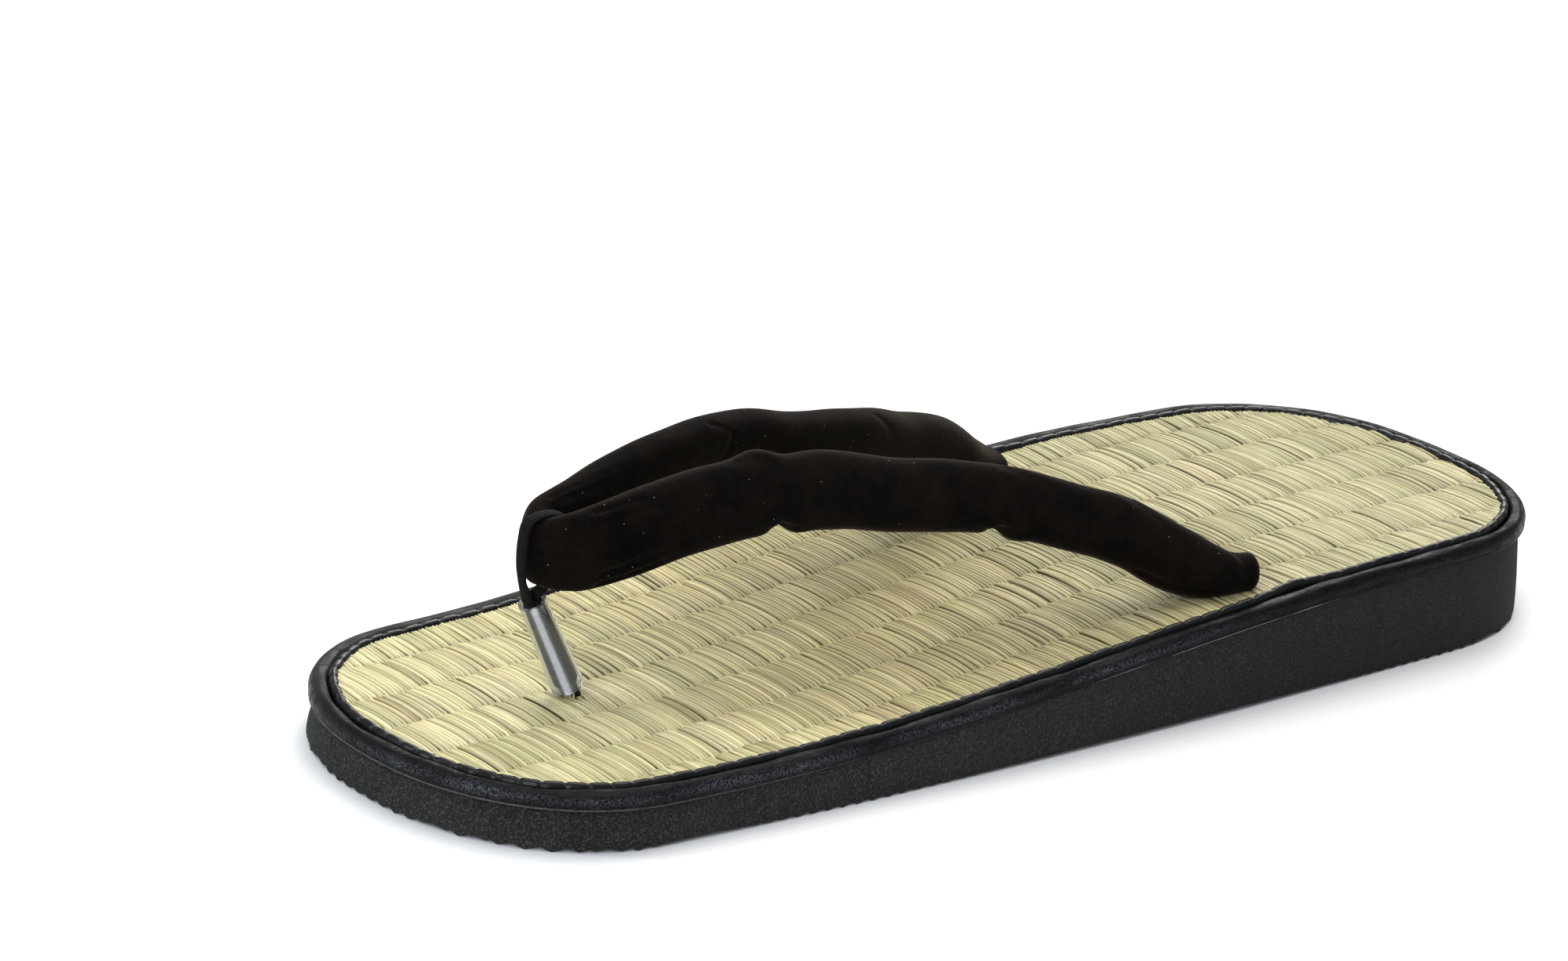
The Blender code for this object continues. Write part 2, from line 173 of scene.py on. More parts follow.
def setTint(mesh, colours):  # one for all or one for each vertex, which the finish reads as its tint; on the mat and the welt it holds painted light and shade too
    layer = mesh.attributes.new("tint", "FLOAT_COLOR", "POINT")
    rgba = np.ones((len(mesh.vertices), 4))
    rgba[:, :3] = np.reshape(colours, (-1, 3))
    layer.data.foreach_set("color", rgba.astype(np.float32).ravel())


def setShare(mesh, name, values):  # one number for each vertex, which a finish reads by its name
    layer = mesh.attributes.new(name, "FLOAT", "POINT")
    layer.data.foreach_set("value", values.astype(np.float32).ravel())


def tubeMesh(name, rings, sharp=None):  # rings of points joined along a path, both ends closed
    count, around = rings.shape[:2]
    last = (count - 1) * around
    caps = (range(around - 1, -1, -1), range(last, last + around))
    return newMesh(name, rings, latticeFaces(count, around, wrapColumns=True), caps, sharp)


# Finishes
def newFinish(name, **sockets):  # the shader's sockets by name, with _ for a space
    made = bpy.data.materials.new(name)
    made.use_nodes = True
    shader = made.node_tree.nodes["Principled BSDF"]
    for socket, value in sockets.items():
        shader.inputs[socket.replace("_", " ")].default_value = value
    return made, made.node_tree, shader


def addNode(tree, kind, values=None, **settings):  # values are numbers or other nodes' outputs
    made = tree.nodes.new("ShaderNode" + kind)
    for key, value in settings.items():
        setattr(made, key, value)
    for socket, value in (values or {}).items():
        if isinstance(value, bpy.types.NodeSocket):
            tree.links.new(value, made.inputs[socket])
        else:
            made.inputs[socket].default_value = value
    return made


def place(tree, scale=(1.0, 1.0, 1.0)):  # object coordinates, stretched
    source = addNode(tree, "TexCoord").outputs["Object"]
    return addNode(tree, "Mapping", {"Vector": source, "Scale": scale}).outputs["Vector"]


def noise(tree, size, detail=3.0, roughness=0.55, stretch=(1.0, 1.0, 1.0)):  # size is that of its grain
    values = {"Vector": place(tree, stretch), "Scale": 1.0 / size, "Detail": detail, "Roughness": roughness}
    return addNode(tree, "TexNoise", values).outputs["Fac"]


def mathNode(tree, operation, first, second):  # one sum, product or comparison of two values
    return addNode(tree, "Math", {0: first, 1: second}, operation=operation).outputs[0]


def mixColour(tree, share, first, second):  # first where share is 0, second where it is 1
    first, second = ((*part, 1.0) if isinstance(part, tuple) else part for part in (first, second))
    return addNode(tree, "Mix", {0: share, 6: first, 7: second}, data_type="RGBA").outputs[2]


def between(tree, value, low, high, start=0.0, end=1.0):  # value from low..high to start..end, clamped
    values = {"Value": value, "From Min": low, "From Max": high, "To Min": start, "To Max": end}
    return addNode(tree, "MapRange", values).outputs["Result"]


def roughen(tree, shader, height, depth, strength=1.0, under=None):  # a bump, over an earlier one if given
    values = {"Height": height, "Distance": depth, "Strength": strength}
    if under is not None:
        values["Normal"] = under
    made = addNode(tree, "Bump", values).outputs["Normal"]
    tree.links.new(made, shader.inputs["Normal"])
    return made


def foamFinish():  # brown patches, brushed streaks and specks, darker to the heel and paler underneath
    made, tree, shader = newFinish("foamSponge", Roughness=0.86, Specular_IOR_Level=0.28)
    grain = noise(tree, 0.00075, 4.0, 0.75)
    patches = noise(tree, 0.035, 3.0, 0.6)
    pores = noise(tree, 0.00042, 3.0, 0.7)
    brushed = noise(tree, 0.0013, 3.0, 0.6, (1.0, 1.0, 0.16))
    station = addNode(tree, "SeparateXYZ", {0: place(tree)}).outputs["Y"]
    normal = addNode(tree, "NewGeometry").outputs["True Normal"]
    facing = addNode(tree, "SeparateXYZ", {0: normal}).outputs["Z"]
    colour = mixColour(tree, between(tree, patches, 0.45, 0.70), foam["black"], foam["brown"])
    for share, over in ((between(tree, brushed, 0.42, 0.70, 0.0, 0.45), "streak"),
                        (between(tree, pores, 0.50, 0.66), "speck"),
                        (between(tree, station, -0.06, 0.06, 0.0, 0.55), "heelBlack"),
                        (between(tree, facing, -0.30, -0.70), "underside")):
        colour = mixColour(tree, share, colour, foam[over])
    tree.links.new(colour, shader.inputs["Base Color"])
    first = roughen(tree, shader, grain, 0.00030, 0.9)
    roughen(tree, shader, pores, 0.00018, 0.8, first)
    return made


def weltFinish():  # satin vinyl, paled where its wear, its grain and its patches all run high
    made, tree, shader = newFinish("weltVinyl", Roughness=0.50, Specular_IOR_Level=0.052,
                                   Specular_Tint=(1.0, 0.98, 0.86, 1.0))
    tint = addNode(tree, "Attribute", attribute_name="tint").outputs["Color"]
    wear = addNode(tree, "Attribute", attribute_name="wear").outputs["Fac"]
    grain = noise(tree, 0.00036, 3.0, 0.6)
    creases = noise(tree, 0.0022, 4.0, 0.6, (1.0, 0.35, 1.0))
    patches = noise(tree, 0.0130, 3.0, 0.6, (1.0, 0.5, 1.0))
    rubbed = mathNode(tree, "MULTIPLY", between(tree, grain, 0.42, 0.62), wear)
    rubbed = mathNode(tree, "MULTIPLY", rubbed, between(tree, patches, 0.30, 0.58))
    tree.links.new(mixColour(tree, rubbed, tint, welt["worn"]), shader.inputs["Base Color"])
    tree.links.new(between(tree, creases, 0.35, 0.65, 0.27, 0.58), shader.inputs["Roughness"])
    first = roughen(tree, shader, creases, 0.00045, 0.8)
    roughen(tree, shader, grain, 0.00004, 0.5, first)
    return made


def bindingFinish():  # glossy vinyl, its gloss varied by its creases
    made, tree, shader = newFinish("bindingVinyl", Roughness=0.30, Specular_IOR_Level=0.22,
                                   Base_Color=(*binding["colour"], 1.0))
    creases = noise(tree, 0.0016, 4.0, 0.6)
    tree.links.new(between(tree, creases, 0.35, 0.7, 0.22, 0.42), shader.inputs["Roughness"])
    roughen(tree, shader, creases, 0.00010, 0.45)
    return made


def rushFinish():  # each straw's tint, which holds painted shade and light, with fibres and stains over it
    made, tree, shader = newFinish("rushStraw", Roughness=0.50, Specular_IOR_Level=0.40)
    tint = addNode(tree, "Attribute", attribute_name="tint").outputs["Color"]
    fibre = noise(tree, 0.00060, 3.0, 0.6, (0.10, 3.0, 1.5))
    stain = noise(tree, 0.0090, 3.0, 0.6, (0.8, 1.2, 1.0))
    colour = mixColour(tree, between(tree, fibre, 0.35, 0.75, 0.0, 0.50), tint, rush["fibre"])
    colour = mixColour(tree, between(tree, stain, 0.56, 0.76, 0.0, 0.30), colour, rush["stain"])
    tree.links.new(colour, shader.inputs["Base Color"])
    tree.links.new(between(tree, fibre, 0.3, 0.7, 0.40, 0.62), shader.inputs["Roughness"])
    roughen(tree, shader, fibre, 0.00012, 0.6)
    return made


def velvetFinish():  # near-black pile with a faint sheen, paler patches of painted sheen, and lint at the middles of some cells
    made, tree, shader = newFinish("velvet", Roughness=0.90, Specular_IOR_Level=0.06, Sheen_Weight=0.10,
                                   Sheen_Roughness=0.36, Sheen_Tint=(0.95, 0.77, 0.62, 1.0))
    nap = noise(tree, 0.0011, 3.0, 0.7)
    # painted sheen: brushed patches mix in the paler pile
    brushed = between(tree, noise(tree, 0.010, 5.0, 0.75), 0.35, 0.7)
    base = mixColour(tree, brushed, strap["pile"], strap["brushedPileSheen"])
    cells = addNode(tree, "TexVoronoi", {"Vector": place(tree), "Scale": 480.0})
    chosen = mathNode(tree, "GREATER_THAN", cells.outputs["Color"], 0.62)
    small = mathNode(tree, "LESS_THAN", cells.outputs["Distance"], 0.062)
    colour = mixColour(tree, mathNode(tree, "MULTIPLY", chosen, small), base, strap["lint"])
    tree.links.new(colour, shader.inputs["Base Color"])
    roughen(tree, shader, nap, 0.00025, 0.5)
    return made


def thongFinish():  # black braid, ribbed across
    made, tree, shader = newFinish("thongBraid", Roughness=0.85, Specular_IOR_Level=0.15)
    ribs = noise(tree, 0.0007, 2.0, 0.5, (0.5, 1.0, 1.0))
    tree.links.new(mixColour(tree, ribs, thong["braid"], thong["braidRib"]), shader.inputs["Base Color"])
    roughen(tree, shader, ribs, 0.0003, 0.8)
    return made


def sleeveFinish():  # clear, with the normal of its gloss leaned up the tube, so that it mirrors the lamps
    made, tree, shader = newFinish("clearVinyl", Roughness=0.03, IOR=1.45, Transmission_Weight=1.0,
                                   Base_Color=(*sleeve["tint"], 1.0), Coat_Weight=1.0, Coat_IOR=2.0,
                                   Coat_Roughness=0.24)
    upward = thongAxis()[1] * tan(radians(sleeve["upturn"]))
    normal = addNode(tree, "NewGeometry").outputs["Normal"]
    leaned = addNode(tree, "VectorMath", {0: normal, 1: upward.tolist()}, operation="ADD").outputs[0]
    leaned = addNode(tree, "VectorMath", {0: leaned}, operation="NORMALIZE").outputs[0]
    tree.links.new(leaned, shader.inputs["Coat Normal"])
    return made


def coreFinish():  # the black cord inside the tube, smooth where it is pressed to the wall
    made, tree, shader = newFinish("thongCore", Roughness=0.60, Specular_IOR_Level=0.20)
    twist = noise(tree, 0.0012, 2.0, 0.5, (1.0, 1.0, 0.4))
    tree.links.new(mixColour(tree, twist, thong["core"], thong["coreTwist"]), shader.inputs["Base Color"])
    return made


# Sole: a flared foam wall cut from a sheet with a pyramid tread
foam = {
    "around": 760,
    "rows": 9,
    "toeOverhang": 0.0018,  # how far the welt stands over the wall's top edge
    "waistOverhang": 0.0005,
    "heelOverhang": 0.0013,
    "toeReach": 0.30,  # shares of the length over which it fades to the waist's
    "heelReach": 0.25,
    "belly": 1.75,  # exponent with which the wall draws in towards its top
    "unevenness": 0.00010,
    "treadPitch": 0.0034,
    "treadDepth": 0.0009,
    "treadGroove": 0.00022,
    "black": (0.0070, 0.0070, 0.0066),
    "brown": (0.0120, 0.0105, 0.0092),
    "streak": (0.0240, 0.0232, 0.0215),
    "speck": (0.062, 0.061, 0.056),
    "heelBlack": (0.0045, 0.0044, 0.0042),
    "underside": (0.075, 0.079, 0.083),
}


def overhang(y):  # how far the wall's top is drawn in, least at the waist and more to the toe and the heel
    share = y / footprint["length"]
    toe = smoothStep(1.0 - (share + 0.5) / foam["toeReach"])
    heel = smoothStep((share - 0.5) / foam["heelReach"] + 1.0)
    waist = foam["waistOverhang"]
    return waist + ((foam["toeOverhang"] - waist) * toe + (foam["heelOverhang"] - waist) * heel)


def wallMesh():  # the outline drawn in by overhang times height to the power belly, with slow waves
    x, y, outX, outY, reach = outline(foam["around"])
    share = np.linspace(0.0, 1.0, foam["rows"])[:, None]
    seat = bedLevel(y) - bed["matThickness"] - bed["clearance"]
    waves = foam["unevenness"] * (np.sin(reach / 0.011) + np.sin(reach / 0.0047 + 4 * share))
    depth = overhang(y) * share ** foam["belly"] + waves * share * (1 - share) * 2
    z = share * seat
    z[0] = -foam["treadPitch"]  # below the floor, for the tread to cut
    grid = np.stack([x - depth * outX, y - depth * outY, z], -1)
    last = (foam["rows"] - 1) * foam["around"]
    near = last + np.arange(foam["around"] // 2)
    far = last + (foam["around"] - np.arange(foam["around"] // 2)) % foam["around"]
    top = np.stack([near, near + 1, np.roll(far, -1), far], -1)  # strips across, from side to side
    top[-1, 2] = near[-1] + 1
    extra = [range(foam["around"] - 1, -1, -1), top[0, :3].tolist(), top[-1, [0, 1, 3]].tolist()]
    faces = np.concatenate([latticeFaces(foam["rows"], foam["around"], wrapColumns=True), top[1:-1]])
    return newMesh("wall", grid, faces, extra)


def treadLines(reach):  # the two sides and the middle of each cell, along one direction
    pitch, groove = foam["treadPitch"], foam["treadGroove"]
    cells = int(reach / pitch) + 2
    middle = (np.arange(-cells, cells) + 0.5) * pitch
    side = (pitch - groove) / 2
    return np.stack([middle - side, middle, middle + side], 1).ravel()


def treadMesh():  # a block with pyramids below: 0 at a cell's middle, treadDepth up at its rim
    x, y = treadLines(halfWaist), treadLines(footprint["length"] / 2)
    rim = np.maximum(np.abs(np.arange(x.size) % 3 - 1)[:, None], np.abs(np.arange(y.size) % 3 - 1)[None])
    grid = np.stack(np.broadcast_arrays(x[:, None], y[None], rim * foam["treadDepth"]), -1)
    faces = latticeFaces(x.size, y.size)
    row, column = np.divmod(np.arange(len(faces)), y.size - 1)
    split = (row % 3 == column % 3)[:, None]
    first = np.where(split, faces[:, [0, 1, 2]], faces[:, [0, 1, 3]])
    second = np.where(split, faces[:, [0, 2, 3]], faces[:, [1, 2, 3]])
    index = np.arange(x.size * y.size).reshape(x.size, y.size)
    border = np.concatenate([index[:-1, 0], index[-1, :-1], index[:0:-1, -1], index[0, :0:-1]])
    upper = grid.reshape(-1, 3)[border] + (0.0, 0.0, bed["heelLevel"] * 2)
    top = grid.size // 3 + np.arange(len(border))
    sides = np.stack([border, np.roll(border, -1), np.roll(top, -1), top], -1)
    points = np.concatenate([grid.reshape(-1, 3), upper])
    triangles = np.concatenate([first, second])
    return newMesh("tread", points, sides, triangles.tolist() + [top.tolist()])


def makeSole():  # what the wall and the tread block have in common
    wall, tread = newObject("wall", wallMesh()), newObject("tread", treadMesh())
    step = wall.modifiers.new("cut", "BOOLEAN")
    step.operation = "INTERSECT"
    step.solver = "MANIFOLD"
    step.object = tread
    mesh = bpy.data.meshes.new_from_object(wall.evaluated_get(bpy.context.evaluated_depsgraph_get()))
    for made in (wall, tread):
        bpy.data.objects.remove(made, do_unlink=True)
    mesh.shade_smooth()
    mesh.set_sharp_from_angle(angle=radians(24))
    newPiece("foamSole", mesh, foamFinish(), "sole")


# Welt: the vinyl roll round the top edge
welt = {
    "around": 900,
    "unevenness": 0.00010,
    "toeWrinkles": 0.6,  # how much more uneven it is where it turns round the toe
    "colour": (0.0036, 0.0036, 0.0038),
    "toeColour": (0.0066, 0.0068, 0.0062),
    "worn": (0.085, 0.090, 0.110),
    # painted light: the welt's far side paler grey
    "farSideLight": (0.030, 0.031, 0.029),
    "rimColour": (0.230, 0.225, 0.200),
    "flash": (0.40, 0.41, 0.43),
    "flashStart": -0.009,  # y between which the light line shows under the near edge
    "flashEnd": 0.062,
    "lapY": 0.002,  # where the ends of the tape lap, on the far side
    "lapStep": 0.0003,
    "lapFade": 0.016,
    "flashFade": 0.010,
    "flashRow": 4,  # of the profile
    "rimRows": (3, 5),  # first and last that carry the pale rim at the toe
    "wearLeft": 0.12,  # share of the wear left on the far side and at the heel
    "wearEnd": 0.060,  # y past which the near side has only that share too
    "wearFade": 0.10,
    "wearGain": 1.3,
}
weltProfile = (
    # inset as a share of weltWidth, height over the bed as a share of matThickness, wear from 0 to 1
    (1.00, -1.00, 0.0),
    (0.30, -1.00, 0.0),
    (0.12, -1.02, 0.0),
    (0.04, -1.00, 0.1),
    (0.01, -0.96, 0.2),
    (0.005, -0.925, 0.2),
    (0.01, -0.86, 0.2),
    (0.03, -0.76, 0.2),
    (0.00, -0.60, 0.5),
    (0.01, -0.45, 1.0),
    (0.05, -0.30, 0.8),
    (0.12, -0.15, 0.4),
    (0.22, -0.04, 0.2),
    (0.34, 0.03, 0.0),
    (0.48, 0.067, 0.0),
    (0.60, 0.062, 0.0),
    (0.68, 0.035, 0.0),
    (0.78, 0.03, 0.0),
    (0.90, -0.06, 0.0),
    (0.98, -0.22, 0.0),
    (1.00, -0.50, 0.0),
)


def makeWelt():  # the profile carried round the outline, with waves that grow towards the toe
    rng = np.random.default_rng(11)
    x, y, outX, outY, reach = outline(welt["around"])
    rows = np.array(weltProfile)
    row = np.arange(len(rows))[:, None]
    inset, height, wear = rows[:, :1] * bed["weltWidth"], rows[:, 1:2] * bed["matThickness"], rows[:, 2:]
    phase = row * 0.35
    towardsToe = smoothStep(0.55 - (y / footprint["length"] + 0.5))
    ripples = np.sin(reach / 0.0065 + phase) + np.sin(reach / 0.0023 - 2 * phase) / 2
    waves = welt["unevenness"] * ripples * (1.0 + welt["toeWrinkles"] * towardsToe)
    top = smoothStep(height / bed["matThickness"] + 1.0)
    pastLap = (x < 0) * (y > welt["lapY"])
    lap = welt["lapStep"] * pastLap * np.exp(-np.abs(y - welt["lapY"]) / welt["lapFade"])
    inset = inset + waves * top - lap * (1 - top)
    z = bedLevel(y) + height + waves * top
    grid = np.stack([x - inset * outX, y - inset * outY, z], -1)
    mesh = newMesh("welt", grid, latticeFaces(len(rows), welt["around"], wrapRows=True, wrapColumns=True))
    patches = np.convolve(rng.random(welt["around"]), np.ones(9) / 9, "same")
    fine = rng.random((len(rows), welt["around"]))
    near = smoothStep((x / halfWaist + 0.35) * 1.2) * smoothStep((welt["wearEnd"] - y) / welt["wearFade"])
    worn = wear * blend(welt["wearLeft"], 1.0, near) * welt["wearGain"]
    setShare(mesh, "wear", np.clip(worn, 0.0, 1.0))
    base = blend(welt["colour"], welt["toeColour"], towardsToe[:, None])
    # painted light: the welt's far side lifted to a paler grey
    farLightShare = smoothStep(-x / halfWaist)[:, None]
    base = base + farLightShare * np.maximum(np.array(welt["farSideLight"]) - base, 0.0)
    rim = (row >= welt["rimRows"][0]) * (row <= welt["rimRows"][1]) * towardsToe * (0.3 + 0.7 * fine)
    colours = blend(base[None], welt["rimColour"], rim[..., None])
    begun, left = (y - welt["flashStart"]) / welt["flashFade"], (welt["flashEnd"] - y) / welt["flashFade"]
    broken = np.clip(patches * 3.2 - 0.9, 0.0, 1.0)
    lit = (row == welt["flashRow"]) * ((x > 0) * smoothStep(begun) * smoothStep(left)) * broken
    setTint(mesh, blend(colours, welt["flash"], lit[..., None]))
    newPiece("weltRoll", mesh, weltFinish(), "welt")


# Binding: a narrow stitched bead between the welt and the mat
binding = {
    "around": 1500,
    "sides": 12,
    "proud": 0.0007,
    "stitch": 0.0046,  # from stitch to stitch
    "pinch": 0.20,
    "wander": 0.00012,
    "bulgeStation": 0.684,  # where the strap's end pushes it up
    "bulgeLength": 0.0060,
    "bulgeRise": 0.0006,
    "bulgeIn": 0.0006,
    "colour": (0.0080, 0.0080, 0.0082),
}


def makeBinding():  # a flattened round profile, pinched at each stitch, carried round inside the welt
    x, y, outX, outY, reach = outline(binding["around"])
    turn = np.arange(binding["sides"])[:, None] * 2 * pi / binding["sides"]
    halfWidth = bed["bindingWidth"] / 2
    middle = bindingStart + halfWidth
    fromStitch = (reach / binding["stitch"] + 0.5) % 1.0 - 0.5
    tight = 1.0 - binding["pinch"] * bump(fromStitch, 0.11)
    wander = binding["wander"] * (np.sin(reach / 0.0031) + np.sin(reach / 0.0013 + 1.0) / 2)
    bulge = bump(y - alongY(binding["bulgeStation"]), binding["bulgeLength"])
    inset = middle + wander + binding["bulgeIn"] * bulge + np.cos(turn) * halfWidth * 1.12 * tight
    tall = bed["matThickness"] * 0.5 + binding["proud"]
    low = binding["proud"] - tall
    z = bedLevel(y) + low * 0.5 + np.sin(turn) * (binding["proud"] - low * 0.5) * tight
    z = z + binding["bulgeRise"] * bulge * (np.sin(turn) > 0)
    grid = np.stack([x - inset * outX, y - inset * outY, z], -1)
    faces = latticeFaces(binding["sides"], binding["around"], wrapRows=True, wrapColumns=True)[:, ::-1]
    newPiece("bindingBead", newMesh("binding", grid, faces), bindingFinish(), "edge_binding")


# Rush mat: strands across the sandal that arch over each lengthwise band
rush = {
    "bands": 7,  # the outer two run on under the bead
    "bandWidth": 0.0130,
    "lineShift": 0.0002,  # of the lines between the bands, towards +X
    "skew": 0.019,  # by which the lines turn towards -X on their way to the heel
    "pitch": 0.00084,  # from strand to strand
    "relief": 0.00045,  # of a band's crest over the lines between the bands
    "halfThickness": 0.00046,
    "overlap": 0.56,  # half width of a strand as a share of the pitch
    "underBinding": 0.0011,  # how far the outer strands run on under the bead
    "rimReach": 0.0040,  # from the strands' outer ends, over which the mat grows level
    "tuck": 0.0009,  # how far a strand runs on under its neighbours past the line
    "tuckDepth": 0.00040,
    "tuft": 0.0128,  # length of the bundles into which the lines gather the strands
    "gather": 0.00020,
    "steps": 9,
    "ribs": 5,
    "flankShade": 0.27,  # painted shade: brightness low on a strand's sides
    "flankTurn": 1.35,  # radians from a strand's ridge to there
    "shortest": 0.0007,  # shorter strands at the rim are left out
    "placeJitter": 0.09,  # as shares of the pitch
    "leanJitter": 0.08,
    "liftJitter": 0.00009,
    "widths": (0.88, 1.14),  # shares, from the narrowest strand to the widest
    "depths": (0.85, 1.15),
    "slimming": 0.24,  # of a strand towards its ends
    "holeStation": 0.1685,
    "holePush": 0.0013,
    "holeReach": 0.0030,
    "tornReach": 0.0021,  # from the hole's middle to the torn slips
    "tornWidth": 0.0007,
    "tornThickness": 0.00018,
    "straw": (0.91, 0.81, 0.47),
    "green": (0.61, 0.58, 0.29),
    "amber": (0.64, 0.47, 0.23),
    "brown": (0.24, 0.165, 0.075),
    "amberShare": 0.07,  # of the straws, and how strongly they take the colour
    "amberStrength": 0.55,
    "brownShare": 0.045,
    "brownStrength": 0.50,
    "brightness": (0.66, 1.18),  # from the dullest straw to the palest
    "endShade": 0.20,  # darker towards the lines
    "fibre": (0.30, 0.25, 0.11),
    "stain": (0.36, 0.32, 0.15),
    # painted shade: the ground seen in the slits between the strands
    "under": (0.190, 0.145, 0.065),
    "middle": (0.81, 0.765, 0.665),  # painted shadow of the straps: the middle of the mat darker and yellower
    "strapShadowY": -0.015,
    "strapShadowReach": 0.055,
    "toeLightGain": 1.04,  # painted light and shade: the mat is made paler at the toe and darker behind the straps
    "heelShadeGain": 0.75,
}


def pushFromHole(x, y):  # strands part round the toe cord, least far from it
    offset = y - alongY(rush["holeStation"])
    return rush["holePush"] * np.tanh(offset / 0.0006) * bump(np.hypot(x, offset), rush["holeReach"])


def gathered(line, y):  # how far a line between two bands pulls the strands along, a sine from tuft to tuft
    phase = 0.5 * (line % 2) + 0.17 * np.sin(2.1 * line)
    return -rush["gather"] * np.sin(2 * pi * (y / rush["tuft"] + phase))


def strawTintsAndShade(rng, band, start, share, y, turn):  # straw to green, some amber or brown, with painted shade on the flanks, at the ends and under the straps, and painted light at the toe
    slow = np.sin(start / 0.021 + band * 1.7) * np.sin(start / 0.0083 + band * 0.9)
    hue = np.clip(0.5 + 0.30 * slow + rng.normal(0.0, 0.30, start.shape), 0.0, 1.0)[..., None]
    colour = blend(rush["straw"], rush["green"], hue)
    for name in ("amber", "brown"):
        chosen = (rng.random(start.shape) < rush[name + "Share"])[..., None]
        colour = blend(colour, rush[name], chosen * rush[name + "Strength"])
    colour = colour * rng.uniform(*rush["brightness"], start.shape)[..., None]
    shade = 1.0 - rush["endShade"] * smoothStep((np.abs(2 * share - 1) - 0.80) / 0.25)
    # painted light at the toe, painted shade behind the straps
    shade = shade * blend(rush["toeLightGain"], rush["heelShadeGain"], smoothStep(y / 0.11 + 0.75))
    # painted shade: each strand's flanks darker than its ridge
    rib = blend(1.0, rush["flankShade"], (np.abs(turn) / rush["flankTurn"]) ** 2.2)
    # painted shadow of the straps over the middle of the mat
    middle = blend(1.0, rush["middle"], bump(y - rush["strapShadowY"], rush["strapShadowReach"])[..., None])
    return (colour * middle)[:, :, None] * shade[..., None, None] * rib[:, None]


def makeRush():  # strands straight across each band, arched by 4 s (1 - s), their ends gathered into tufts
    rng = np.random.default_rng(23)
    bandWidth = rush["bandWidth"]
    strandInset = matInset - rush["underBinding"]
    matHalf = footprint["length"] / 2 - strandInset
    count = int(2 * matHalf / rush["pitch"])
    band = np.repeat(np.arange(rush["bands"]), count)
    number = np.tile(np.arange(count), rush["bands"])
    start = -matHalf + (number + 0.25 + 0.5 * (band % 2)) * rush["pitch"]
    start = start + rng.normal(0.0, rush["placeJitter"], start.size) * rush["pitch"]
    low = (band - rush["bands"] / 2) * bandWidth + rush["lineShift"] - rush["skew"] * start
    edge = matReach(start, strandInset)
    first = np.maximum(low - rush["tuck"], -edge)
    last = np.minimum(low + bandWidth + rush["tuck"], edge)
    kept = last - first > rush["shortest"]
    band, start, low, first, last, edge = (
        part[kept][:, None] for part in (band, start, low, first, last, edge))
    x = first + (last - first) * np.linspace(0.0, 1.0, rush["steps"])[None]
    share = (x - low) / bandWidth
    inside = np.clip(share, 0.0, 1.0)
    y = start + gathered(band, start) * (1 - inside) ** 1.6 + gathered(band + 1, start) * inside ** 1.6
    y = y + rng.normal(0.0, rush["leanJitter"], start.shape) * rush["pitch"] * (2 * share - 1)
    y = y + pushFromHole(x, y)
    level = smoothStep((edge - np.abs(x)) / rush["rimReach"])
    arch = rush["relief"] * (4 * inside * (1 - inside) - 1.0) * level
    past = np.abs(share - inside) * bandWidth / rush["tuck"]
    lift = rng.normal(0.0, rush["liftJitter"], start.shape) - rush["tuckDepth"] * smoothStep(past)
    z = bedLevel(y) + arch - rush["halfThickness"] + lift * level
    turn = np.linspace(rush["flankTurn"], -rush["flankTurn"], rush["ribs"])
    width = rush["pitch"] * rush["overlap"] * rng.uniform(*rush["widths"], start.shape)
    slim = 1.0 - rush["slimming"] * smoothStep((np.abs(2 * share - 1) - 0.7) / 0.45)
    across = (width * slim)[..., None] * np.sin(turn)
    upward = rush["halfThickness"] * rng.uniform(*rush["depths"], start.shape)[..., None] * np.cos(turn)
    grid = np.stack(np.broadcast_arrays(x[..., None], y[..., None] + across, z[..., None] + upward), -1)
    size = rush["steps"] * rush["ribs"]
    shift = np.arange(len(start))[:, None, None] * size
    sides = latticeFaces(rush["steps"], rush["ribs"], wrapColumns=True) + shift
    rib = np.arange(rush["ribs"])
    ends = (np.stack([rib[::-1], size - rush["ribs"] + rib]) + shift).reshape(-1, rush["ribs"])
    mesh = newMesh("rushStrands", grid, sides.reshape(-1, 4), ends.tolist(), 60.0)
    setTint(mesh, strawTintsAndShade(rng, band, start, share, y, turn))
    newPiece("rushStrands", mesh, rushFinish(), "rush_mat")


tornStraw = (
    # angle round the hole in degrees, 0 towards +X, length in millimetres, lean outwards in degrees
    (-62, 1.9, 8),
    (-44, 1.4, 16),
    (-28, 1.7, 4),
    (8, 1.0, 30),
    (150, 0.9, 35),
)


